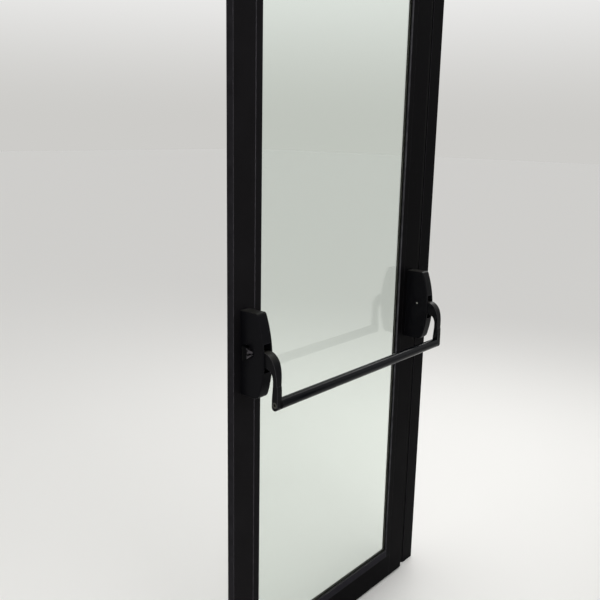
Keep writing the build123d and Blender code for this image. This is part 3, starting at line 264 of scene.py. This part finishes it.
def powder_coat(name, body, edge, roughness, level, peel, arris=0.0022, dust_and_highlight=0.4, lit_side=None):
    """Satin powder coat: thermoset polyester baked on aluminium, with a fine orange peel, slightly
    glossier where hands wipe it, paler along the arrises where the film is thin and a painted
    highlight is drawn, and dusty on top, a pale tone that also paints a highlight there. The last
    argument gives a side painted lighter as painted light, and its tone there."""
    edge_patches_per_metre = 40.0
    patches_per_metre = 9.0
    # The real peel is 1 mm across; it is drawn 2.5 mm across so that it shows
    peel_per_metre = 400.0
    # Noise value where the coat is wiped glossiest, and where it is left dullest
    glossy_at, dull_at = 0.3, 0.7
    gloss_spread = 0.05
    made, tree, shader = new_material(name)
    place = metre_place(tree)
    mask, eased = worn_and_lit_edges(tree, arris, place, edge_patches_per_metre)
    shade, cloud = patchy_tone(tree, place, patches_per_metre, detail=4.0, tones=body)
    worn_and_lit = add_node(
        tree,
        "ShaderNodeMix",
        {"data_type": "RGBA"},
        {"Factor": mask, "A": shade, "B": linear(edge)},
    )
    wiped = add_node(
        tree,
        "ShaderNodeMapRange",
        inputs={
            "Value": cloud,
            "From Min": glossy_at,
            "From Max": dull_at,
            "To Min": roughness - gloss_spread,
            "To Max": roughness + gloss_spread,
        },
    )
    skin, _ = relief(
        tree,
        place,
        peel_per_metre,
        detail=2.0,
        strength=peel,
        height=SKIN_HEIGHT,
        normal=eased,
    )
    colour = laid_on(tree, worn_and_lit.outputs["Result"], UPWARD, DUST_AND_HIGHLIGHT_TONE, dust_and_highlight)
    if lit_side:
        colour = laid_on(tree, colour, lit_side[0], lit_side[1], 1.0)
    set_inputs(
        tree,
        shader,
        {
            "Base Color": colour,
            "Roughness": wiped.outputs["Result"],
            "Normal": skin,
            "IOR": COAT_IOR,
            "Specular IOR Level": level,
        },
    )
    return made


def bare_metal(name, body, roughness, stretch, grain_per_metre, depth):
    """Bare or plated metal with faint stains, painted shade in its sockets, and edges paler as wear
    and a painted highlight. Its fine grain runs the way it was worked and changes its gloss."""
    arris = 0.0004
    edge_patches_per_metre = 90.0
    stains_per_metre = 60.0
    # Reach of the painted shade that sockets and slots get, and the open share where it ends
    socket_reach = 0.003
    shaded_below, open_above = 0.45, 0.8
    glossier, duller = 0.08, 0.1
    made, tree, shader = new_material(name)
    place = metre_place(tree)
    mask, eased = worn_and_lit_edges(tree, arris, place, edge_patches_per_metre)
    shade, _ = patchy_tone(tree, place, stains_per_metre, detail=3.0, tones=body)
    bright = add_node(
        tree,
        "ShaderNodeMix",
        {"data_type": "RGBA"},
        {"Factor": mask, "A": shade, "B": linear(body[1])},
    )
    shelter = add_node(
        tree, "ShaderNodeAmbientOcclusion", {"samples": EDGE_SAMPLES}, {"Distance": socket_reach}
    )
    open_air = add_node(
        tree,
        "ShaderNodeMapRange",
        inputs={
            "Value": shelter.outputs["AO"],
            "From Min": shaded_below,
            "From Max": open_above,
        },
    )
    shaded_sockets = add_node(
        tree,
        "ShaderNodeMix",
        {"data_type": "RGBA"},
        {
            "Factor": open_air.outputs["Result"],
            "A": linear(SOCKET_SHADE),
            "B": bright.outputs["Result"],
        },
    )
    worked, grain = relief(
        tree,
        metre_place(tree, stretch),
        grain_per_metre,
        detail=3.0,
        strength=depth,
        height=GRAIN_HEIGHT,
        normal=eased,
    )
    gloss = add_node(
        tree,
        "ShaderNodeMapRange",
        inputs={
            "Value": grain,
            "To Min": roughness - glossier,
            "To Max": roughness + duller,
        },
    )
    set_inputs(
        tree,
        shader,
        {
            "Base Color": shaded_sockets.outputs["Result"],
            "Roughness": gloss.outputs["Result"],
            "Normal": worked,
            "Metallic": 1.0,
        },
    )
    return made


def worn_bolt(name, dark, grey_nose_tone, roughness):
    """Blackened steel bolt: black where it stays in its case, with dull grey patches on the nose
    that rides over the strike, drawn as rubbing and as a painted highlight."""
    # The grey patches, rubbing with a painted highlight, are 4 to 6 mm across, which is what a
    # strike lip leaves
    patches_per_metre = 170.0
    # Noise value up to which a place stays black, and from which it is grey
    black_to, grey_from = 0.38, 0.56
    # Scratches run along the bolt's travel, ten times as long as wide
    scratches_per_metre = 1200.0
    scratch_stretch = (1, 0.1, 1)
    scratch_depth = 0.4
    # Where the grey nose begins along x, and where it is fully grey
    nose_begins, nose_grey = -0.3865, -0.3835
    made, tree, shader = new_material(name)
    place = metre_place(tree)
    nose_noise = add_node(
        tree,
        "ShaderNodeTexNoise",
        inputs={"Vector": place, "Scale": patches_per_metre, "Detail": 2.0},
    )
    patches = add_node(
        tree,
        "ShaderNodeMapRange",
        inputs={"Value": nose_noise.outputs["Fac"], "From Min": black_to, "From Max": grey_from},
    )
    apart = add_node(tree, "ShaderNodeSeparateXYZ", inputs={"Vector": place})
    nose = add_node(
        tree,
        "ShaderNodeMapRange",
        inputs={"Value": apart.outputs["X"], "From Min": nose_begins, "From Max": nose_grey},
    )
    share = add_node(
        tree,
        "ShaderNodeMath",
        {"operation": "MULTIPLY"},
        {0: patches.outputs["Result"], 1: nose.outputs["Result"]},
    )
    shade = add_node(
        tree,
        "ShaderNodeMix",
        {"data_type": "RGBA"},
        {"Factor": share.outputs["Value"], "A": linear(dark), "B": linear(grey_nose_tone)},
    )
    scratched, _ = relief(
        tree,
        metre_place(tree, scratch_stretch),
        scratches_per_metre,
        detail=2.0,
        strength=scratch_depth,
        height=GRAIN_HEIGHT,
    )
    set_inputs(
        tree,
        shader,
        {
            "Base Color": shade.outputs["Result"],
            "Normal": scratched,
            "Metallic": 1.0,
            "Roughness": roughness,
        },
    )
    return made


def capped_axle(name, ring, glint_tone, radius, roughness):
    """Axle of the arm: its head is blackened, and the socket in the middle is bare steel painted
    bright as a glint.
    """
    # The distance to the centre line is taken across the axle; the rim is the soft border round the
    # socket, in metres
    across = (1.0, 0.0, 1.0)
    rim = 0.0004
    stains_per_metre = 300.0
    gloss_spread = 0.08
    made, tree, shader = new_material(name)
    place = metre_place(tree)
    flat = add_node(
        tree, "ShaderNodeVectorMath", {"operation": "MULTIPLY"}, {0: place, 1: across}
    )
    away = add_node(
        tree,
        "ShaderNodeVectorMath",
        {"operation": "DISTANCE"},
        {0: flat.outputs["Vector"], 1: (AXLE_X, 0.0, AXLE_Z)},
    )
    middle = add_node(
        tree,
        "ShaderNodeMapRange",
        inputs={"Value": away.outputs["Value"], "From Min": radius + rim, "From Max": radius},
    )
    stain = add_node(
        tree,
        "ShaderNodeTexNoise",
        inputs={"Vector": place, "Scale": stains_per_metre, "Detail": 3.0},
    )
    shade = add_node(
        tree,
        "ShaderNodeMix",
        {"data_type": "RGBA"},
        {"Factor": middle.outputs["Result"], "A": linear(ring), "B": linear(glint_tone)},
    )
    gloss = add_node(
        tree,
        "ShaderNodeMapRange",
        inputs={
            "Value": stain.outputs["Fac"],
            "To Min": roughness - gloss_spread,
            "To Max": roughness + gloss_spread,
        },
    )
    set_inputs(
        tree,
        shader,
        {
            "Base Color": shade.outputs["Result"],
            "Roughness": gloss.outputs["Result"],
            "Metallic": 1.0,
        },
    )
    return made


def moulded(name, body, roughness, level, grain_per_metre, depth):
    """Moulded rubber or plastic: matt, with a faint patchy bloom and a fine skin from its die."""
    bloom_per_metre = 25.0
    gloss_spread = 0.06
    made, tree, shader = new_material(name)
    place = metre_place(tree)
    shade, bloom = patchy_tone(tree, place, bloom_per_metre, detail=5.0, tones=body)
    skin, _ = relief(
        tree, place, grain_per_metre, detail=2.0, strength=depth, height=SKIN_HEIGHT
    )
    gloss = add_node(
        tree,
        "ShaderNodeMapRange",
        inputs={
            "Value": bloom,
            "To Min": roughness - gloss_spread,
            "To Max": roughness + gloss_spread,
        },
    )
    set_inputs(
        tree,
        shader,
        {
            "Base Color": shade,
            "Roughness": gloss.outputs["Result"],
            "Normal": skin,
            "IOR": COAT_IOR,
            "Specular IOR Level": level,
        },
    )
    return made


def float_glass(name, tint):
    """Clear toughened float glass: smooth and faintly green from its iron, with very slight roller
    waves that bend reflections."""
    made, tree, shader = new_material(name)
    waves, _ = relief(
        tree,
        metre_place(tree, stretch=(1, 1, 0.4)),
        per_metre=5.0,
        detail=1.0,
        strength=0.02,
        height=ROLLER_WAVE_HEIGHT,
    )
    set_inputs(
        tree,
        shader,
        {
            "Normal": waves,
            "Base Color": linear(tint),
            "Roughness": 0.0,
            "IOR": GLASS_IOR,
            "Transmission Weight": 1.0,
        },
    )
    return made


# Profiles and hinges: powder-coated aluminium, painted a deeper black than the lock side as painted
# shade, with paler arrises as a painted highlight
shaded_profile_coat = powder_coat(
    "satin_black_powder_coat",
    body=("#060607", "#0b0a0c"),
    edge="#47454a",
    roughness=0.44,
    level=0.015,
    peel=0.35,
)
# Lock stile and its bead: the profile coat painted lighter as painted light, with pale arrises as a
# painted highlight and more painted light on the edge face toward the lock side
lit_lock_side_coat = powder_coat(
    "satin_black_powder_coat_lit_on_the_lock_side",
    body=("#0f0e0f", "#181719"),
    edge="#94919a",
    roughness=0.44,
    level=0.02,
    peel=0.35,
    arris=0.003,
    lit_side=(TO_LOCK_EDGE, "#222124"),
)
# Hinge bead: a deep black as painted shade, with a painted highlight in grey on the narrow face
# beside the glass
lit_reveal_bead_coat = powder_coat(
    "satin_black_powder_coat_lit_beside_the_glass",
    body=("#070708", "#0c0b0d"),
    edge="#47454a",
    roughness=0.44,
    level=0.015,
    peel=0.35,
    lit_side=(TO_LOCK_EDGE, "#49484c"),
)
# Bottom bead: cleaning water dries on it and leaves it a greyer black
low_bead_coat = powder_coat(
    "satin_black_powder_coat_dulled_by_cleaning",
    body=("#17161b", "#222027"),
    edge="#5b5963",
    roughness=0.5,
    level=0.03,
    peel=0.35,
)
# Cases: painted zinc castings, a little bluer than the profiles, with broad rounded edges; their
# tops carry dust that also paints a highlight
casting_paint = powder_coat(
    "black_paint_on_zinc_casting",
    body=("#0a0a0c", "#101013"),
    edge="#34353a",
    roughness=0.34,
    level=0.04,
    peel=0.6,
    arris=0.003,
    dust_and_highlight=0.3,
)
# Arms: the same paint, grey along the edges that hands slide over as wear and a painted highlight,
# with dust on top that also paints a highlight
arm_paint = powder_coat(
    "black_paint_on_zinc_arms",
    body=("#0b0b0d", "#121214"),
    edge="#5c5c5f",
    roughness=0.32,
    level=0.05,
    peel=0.6,
    arris=0.0016,
    dust_and_highlight=0.3,
)
# Push bar: painted drawn tube, smooth enough to show a long highlight
tube_paint = powder_coat(
    "black_paint_on_drawn_tube",
    body=("#08090c", "#0b0d10"),
    edge="#1b1d20",
    roughness=0.17,
    level=0.075,
    peel=0.12,
    dust_and_highlight=0.0,
)
# Screws of the hinges and case covers: black oxide, which shines a little more than paint
black_oxide = powder_coat(
    "black_oxide_on_steel_screws",
    body=("#111113", "#1a1a1c"),
    edge="#4c4c50",
    roughness=0.38,
    level=0.3,
    peel=0.15,
    arris=0.0006,
)
# Pane: clear, with the faint green that a thick edge shows
pane_glass = float_glass("clear_float_glass", tint="#edf4ee")
# Seals and the inner gasket: matt rubber; the outer gasket is weathered grey, a tone that also
# paints the highlight on the strip it shows
epdm = moulded(
    "extruded_epdm_rubber",
    body=("#101010", "#1a1a1a"),
    roughness=0.72,
    level=0.12,
    grain_per_metre=500.0,
    depth=0.5,
)
lit_weathered_epdm = moulded(
    "weathered_epdm_rubber_with_painted_highlight",
    body=("#45443f", "#5c5b55"),
    roughness=0.8,
    level=0.1,
    grain_per_metre=500.0,
    depth=0.5,
)
# Plugs and setting blocks: nylon, smoother than rubber
nylon = moulded(
    "moulded_black_nylon",
    body=("#0e0e0e", "#151516"),
    roughness=0.5,
    level=0.2,
    grain_per_metre=700.0,
    depth=0.3,
)
# Corner and rail cleats: pale castings with a sandy skin
cast_aluminium = bare_metal(
    "die_cast_aluminium",
    body=("#a9abad", "#c3c5c6"),
    roughness=0.45,
    stretch=EVEN,
    grain_per_metre=350.0,
    depth=0.8,
)
# Case bases and the latch's inner parts: pale plated steel with an upright grain
zinc_plate = bare_metal(
    "zinc_plated_steel",
    body=("#a3a8ab", "#c2c6c6"),
    roughness=0.36,
    stretch=(1, 1, 0.2),
    grain_per_metre=420.0,
    depth=0.4,
)
# Strike plate, its screws and the hinge pins: a darker steel, brushed along its length
stainless = bare_metal(
    "brushed_stainless_steel",
    body=("#6d6c6b", "#8f8d8b"),
    roughness=0.34,
    stretch=(1, 1, 0.08),
    grain_per_metre=900.0,
    depth=0.3,
)
# Screws in the bar's ends: dull, brownish nickel with painted shade in their sockets
tarnished = bare_metal(
    "tarnished_nickel_plate_on_steel",
    body=("#3d3d3a", "#5b5b55"),
    roughness=0.4,
    stretch=EVEN,
    grain_per_metre=700.0,
    depth=0.3,
)
# Springs: smooth drawn wire, glossier than the plated parts round it
spring_wire = bare_metal(
    "drawn_spring_wire",
    body=("#7b7f84", "#a4a7aa"),
    roughness=0.28,
    stretch=EVEN,
    grain_per_metre=600.0,
    depth=0.2,
)
# Latch bolt: black, with dull grey patches on its nose as rubbing and a painted highlight
bolt_steel = worn_bolt(
    "blackened_bolt_steel_rubbed_and_lit_at_the_nose", dark="#0c0c0d", grey_nose_tone="#3e3c3f", roughness=0.42
)
# Axles of the arms: a painted glint as the bright point in a black head
axle_steel = capped_axle(
    "blackened_axle_with_a_painted_glint",
    ring="#131315",
    glint_tone="#b7b5b0",
    radius=0.0028,
    roughness=0.34,
)

slot_finish = {
    "black_profile": shaded_profile_coat,
    "black_hinge": shaded_profile_coat,
    "black_casting": casting_paint,
    "black_tube": tube_paint,
    "clear_glass": pane_glass,
    "black_rubber": epdm,
    "black_plastic": nylon,
    "cast_aluminium": cast_aluminium,
    "zinc_steel": zinc_plate,
    "bright_steel": stainless,
    "black_screws": black_oxide,
}
# Pieces whose surface differs from the rest of their slot
own_finish = {
    "lock_stile": lit_lock_side_coat,
    "lock_bead": lit_lock_side_coat,
    "hinge_bead": lit_reveal_bead_coat,
    "bottom_bead": low_bead_coat,
    "outer_gasket": lit_weathered_epdm,
    "hinge_arm": arm_paint,
    "lock_arm": arm_paint,
    "latch_bolt": bolt_steel,
    "hinge_arm_axle": axle_steel,
    "lock_arm_axle": axle_steel,
    "push_bar_screws": tarnished,
}
for subpart in frame["record"]["subparts"]:
    carried = nodes[subpart["node"]]
    finish = own_finish.get(subpart["node"], slot_finish[subpart["material_slot"]])
    carried.data.materials.clear()
    carried.data.materials.append(finish)


def along_share(turn, turns, closed):
    """Share of a spring's height at a turn, where each closed end turn climbs only the closed share
    and the free turns share the rest evenly."""
    if turn < 1:
        return closed * turn
    if turn > turns - 1:
        return 1 - closed * (turns - turn)
    return closed + (1 - 2 * closed) * (turn - 1) / (turns - 2)


def coil_spring(name, node, along, turns, wire_radius, sides=10, steps=26):
    """A spring of round wire in the place of a CAD spring, with its end turns closed and the free
    turns evenly spread between them. along is the index of its axis, sides counts the facets round
    the wire, and steps the rings in each turn."""
    low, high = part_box(node)
    first_across, second_across = [i for i in range(3) if i != along]
    radius = (high[first_across] - low[first_across]) / 2 - wire_radius
    rise = high[along] - low[along] - 2 * wire_radius
    foot = (low + high) / 2
    foot[along] = low[along] + wire_radius
    upward = Vector((0.0, 0.0, 0.0))
    upward[along] = 1.0
    count = int(turns * steps)
    build = bmesh.new()
    rings = []
    for step in range(count + 1):
        turn = step * turns / count
        angle = 2 * math.pi * turn
        outward = Vector((0.0, 0.0, 0.0))
        outward[first_across] = math.cos(angle)
        outward[second_across] = math.sin(angle)
        climbed = rise * along_share(turn, turns, 2 * wire_radius / rise)
        centre = foot + radius * outward + climbed * upward
        ring = []
        for side in range(sides):
            round_wire = 2 * math.pi * side / sides
            offset = outward * math.cos(round_wire) + upward * math.sin(round_wire)
            ring.append(build.verts.new(centre + wire_radius * offset))
        rings.append(ring)
    for first, second in zip(rings, rings[1:]):
        for side in range(sides):
            after = (side + 1) % sides
            build.faces.new((first[side], first[after], second[after], second[side]))
    build.faces.new(rings[0])
    build.faces.new(list(reversed(rings[-1])))
    bmesh.ops.recalc_face_normals(build, faces=build.faces)
    mesh = bpy.data.meshes.new(name)
    build.to_mesh(mesh)
    build.free()
    mesh.polygons.foreach_set("use_smooth", [True] * len(mesh.polygons))
    mesh.materials.append(spring_wire)
    spring = bpy.data.objects.new(name, mesh)
    scene.collection.objects.link(spring)
    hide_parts(node)
    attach(spring, "leaf")
    return spring, low, high


# The slider's spring would shorten by its 7.8 mm lift, the bolt's by its 11 mm travel; both coils
# are built at the CAD springs' length
slider_coil, coil_low, coil_high = coil_spring(
    "slider_spring", "return_spring", along=2, turns=7, wire_radius=0.0006
)
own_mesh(slider_coil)
bolt_coil, coil_low, coil_high = coil_spring(
    "bolt_spring", "latch_spring", along=1, turns=6, wire_radius=0.0005
)
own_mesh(bolt_coil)

# Camera: the photograph's place and angle
EYE = (0.9253, -1.8071, 1.6652)
EYE_RIGHT = (0.75678, 0.65338, 0.01943)
EYE_FORWARD = (-0.63281, 0.73976, -0.22871)
camera_data = bpy.data.cameras.new("photo_camera")
camera_data.lens = 44.08
camera_data.sensor_width = 36.0
camera_data.clip_start = 0.05
camera = bpy.data.objects.new("photo_camera", camera_data)
scene.collection.objects.link(camera)
forward = Vector(EYE_FORWARD).normalized()
up = Vector(EYE_RIGHT).normalized().cross(forward).normalized()
right = forward.cross(up)
turn = Matrix((right, up, -forward)).transposed().to_4x4()
camera.matrix_world = Matrix.Translation(EYE) @ turn
scene.camera = camera

# Pale floor that keeps the object's shadow
FLOOR_REACH = 40.0
floor_mesh = bpy.data.meshes.new("floor")
floor_build = bmesh.new()
bmesh.ops.create_grid(floor_build, x_segments=1, y_segments=1, size=FLOOR_REACH)
floor_build.to_mesh(floor_mesh)
floor_build.free()
floor = bpy.data.objects.new("floor", floor_mesh)
scene.collection.objects.link(floor)
floor_finish, floor_tree, floor_shader = new_material("matt_pale_studio_floor")
set_inputs(
    floor_tree,
    floor_shader,
    {"Base Color": linear("#efeeeb"), "Roughness": 0.9, "Specular IOR Level": 0.1},
)
floor_mesh.materials.append(floor_finish)

# World: soft light on the object, and full strength where the camera, gloss or glass sees it. Its
# tone goes from the floor's own grey at the horizon to white above
LIGHT_ON_OBJECT = 0.72
HORIZON_TONE = "#cdccc9"
HIGH_TONE = "#ffffff"
WHITE_FROM_HEIGHT = 0.3
world = bpy.data.worlds.new("studio")
world.use_nodes = True
scene.world = world
sky = world.node_tree
sky.nodes.clear()
rays = add_node(sky, "ShaderNodeLightPath")
seen = add_node(
    sky,
    "ShaderNodeMath",
    {"operation": "MAXIMUM"},
    {0: rays.outputs["Is Camera Ray"], 1: rays.outputs["Is Transmission Ray"]},
)
shown = add_node(
    sky,
    "ShaderNodeMath",
    {"operation": "MAXIMUM"},
    {0: seen.outputs["Value"], 1: rays.outputs["Is Glossy Ray"]},
)
strength = add_node(
    sky,
    "ShaderNodeMapRange",
    inputs={"Value": shown.outputs["Value"], "To Min": LIGHT_ON_OBJECT, "To Max": 1.0},
)
look = add_node(sky, "ShaderNodeTexCoord")
height = add_node(sky, "ShaderNodeSeparateXYZ", inputs={"Vector": look.outputs["Generated"]})
rise = add_node(
    sky,
    "ShaderNodeMapRange",
    {"interpolation_type": "SMOOTHSTEP"},
    {"Value": height.outputs["Z"], "From Min": 0.0, "From Max": WHITE_FROM_HEIGHT},
)
tone = add_node(
    sky,
    "ShaderNodeMix",
    {"data_type": "RGBA"},
    {"Factor": rise.outputs["Result"], "A": linear(HORIZON_TONE), "B": linear(HIGH_TONE)},
)
backdrop = add_node(
    sky,
    "ShaderNodeBackground",
    inputs={"Color": tone.outputs["Result"], "Strength": strength.outputs["Result"]},
)
add_node(sky, "ShaderNodeOutputWorld", inputs={"Surface": backdrop.outputs["Background"]})


def soft_lamp(name, place, target, size, power):
    """A square area lamp that faces a point. Its size is in metres and its power in watts."""
    data = bpy.data.lights.new(name, "AREA")
    data.energy = power
    data.size = size
    lamp = bpy.data.objects.new(name, data)
    scene.collection.objects.link(lamp)
    lamp.location = place
    lamp.visible_camera = False
    lamp.visible_transmission = False
    lamp.rotation_mode = "QUATERNION"
    lamp.rotation_quaternion = (Vector(target) - Vector(place)).to_track_quat("-Z", "Y")


# The high lamp behind the leaf draws the long highlight on the push bar, the overhead one the upper
# edges of the arms and cases, and the low one in front the upright arrises
BAR_MIDDLE = (-0.3, 0.0, 1.0)
LEAF_MIDDLE = (-0.4, -0.1, 1.1)
soft_lamp("high_back", (-1.0, 2.1, 2.9), BAR_MIDDLE, size=1.4, power=36.0)
soft_lamp("overhead", (0.9, -0.5, 3.4), LEAF_MIDDLE, size=1.0, power=14.0)
soft_lamp("low_front", (2.5, -3.6, 1.15), LEAF_MIDDLE, size=1.1, power=36.0)

scene.view_settings.view_transform = "Standard"
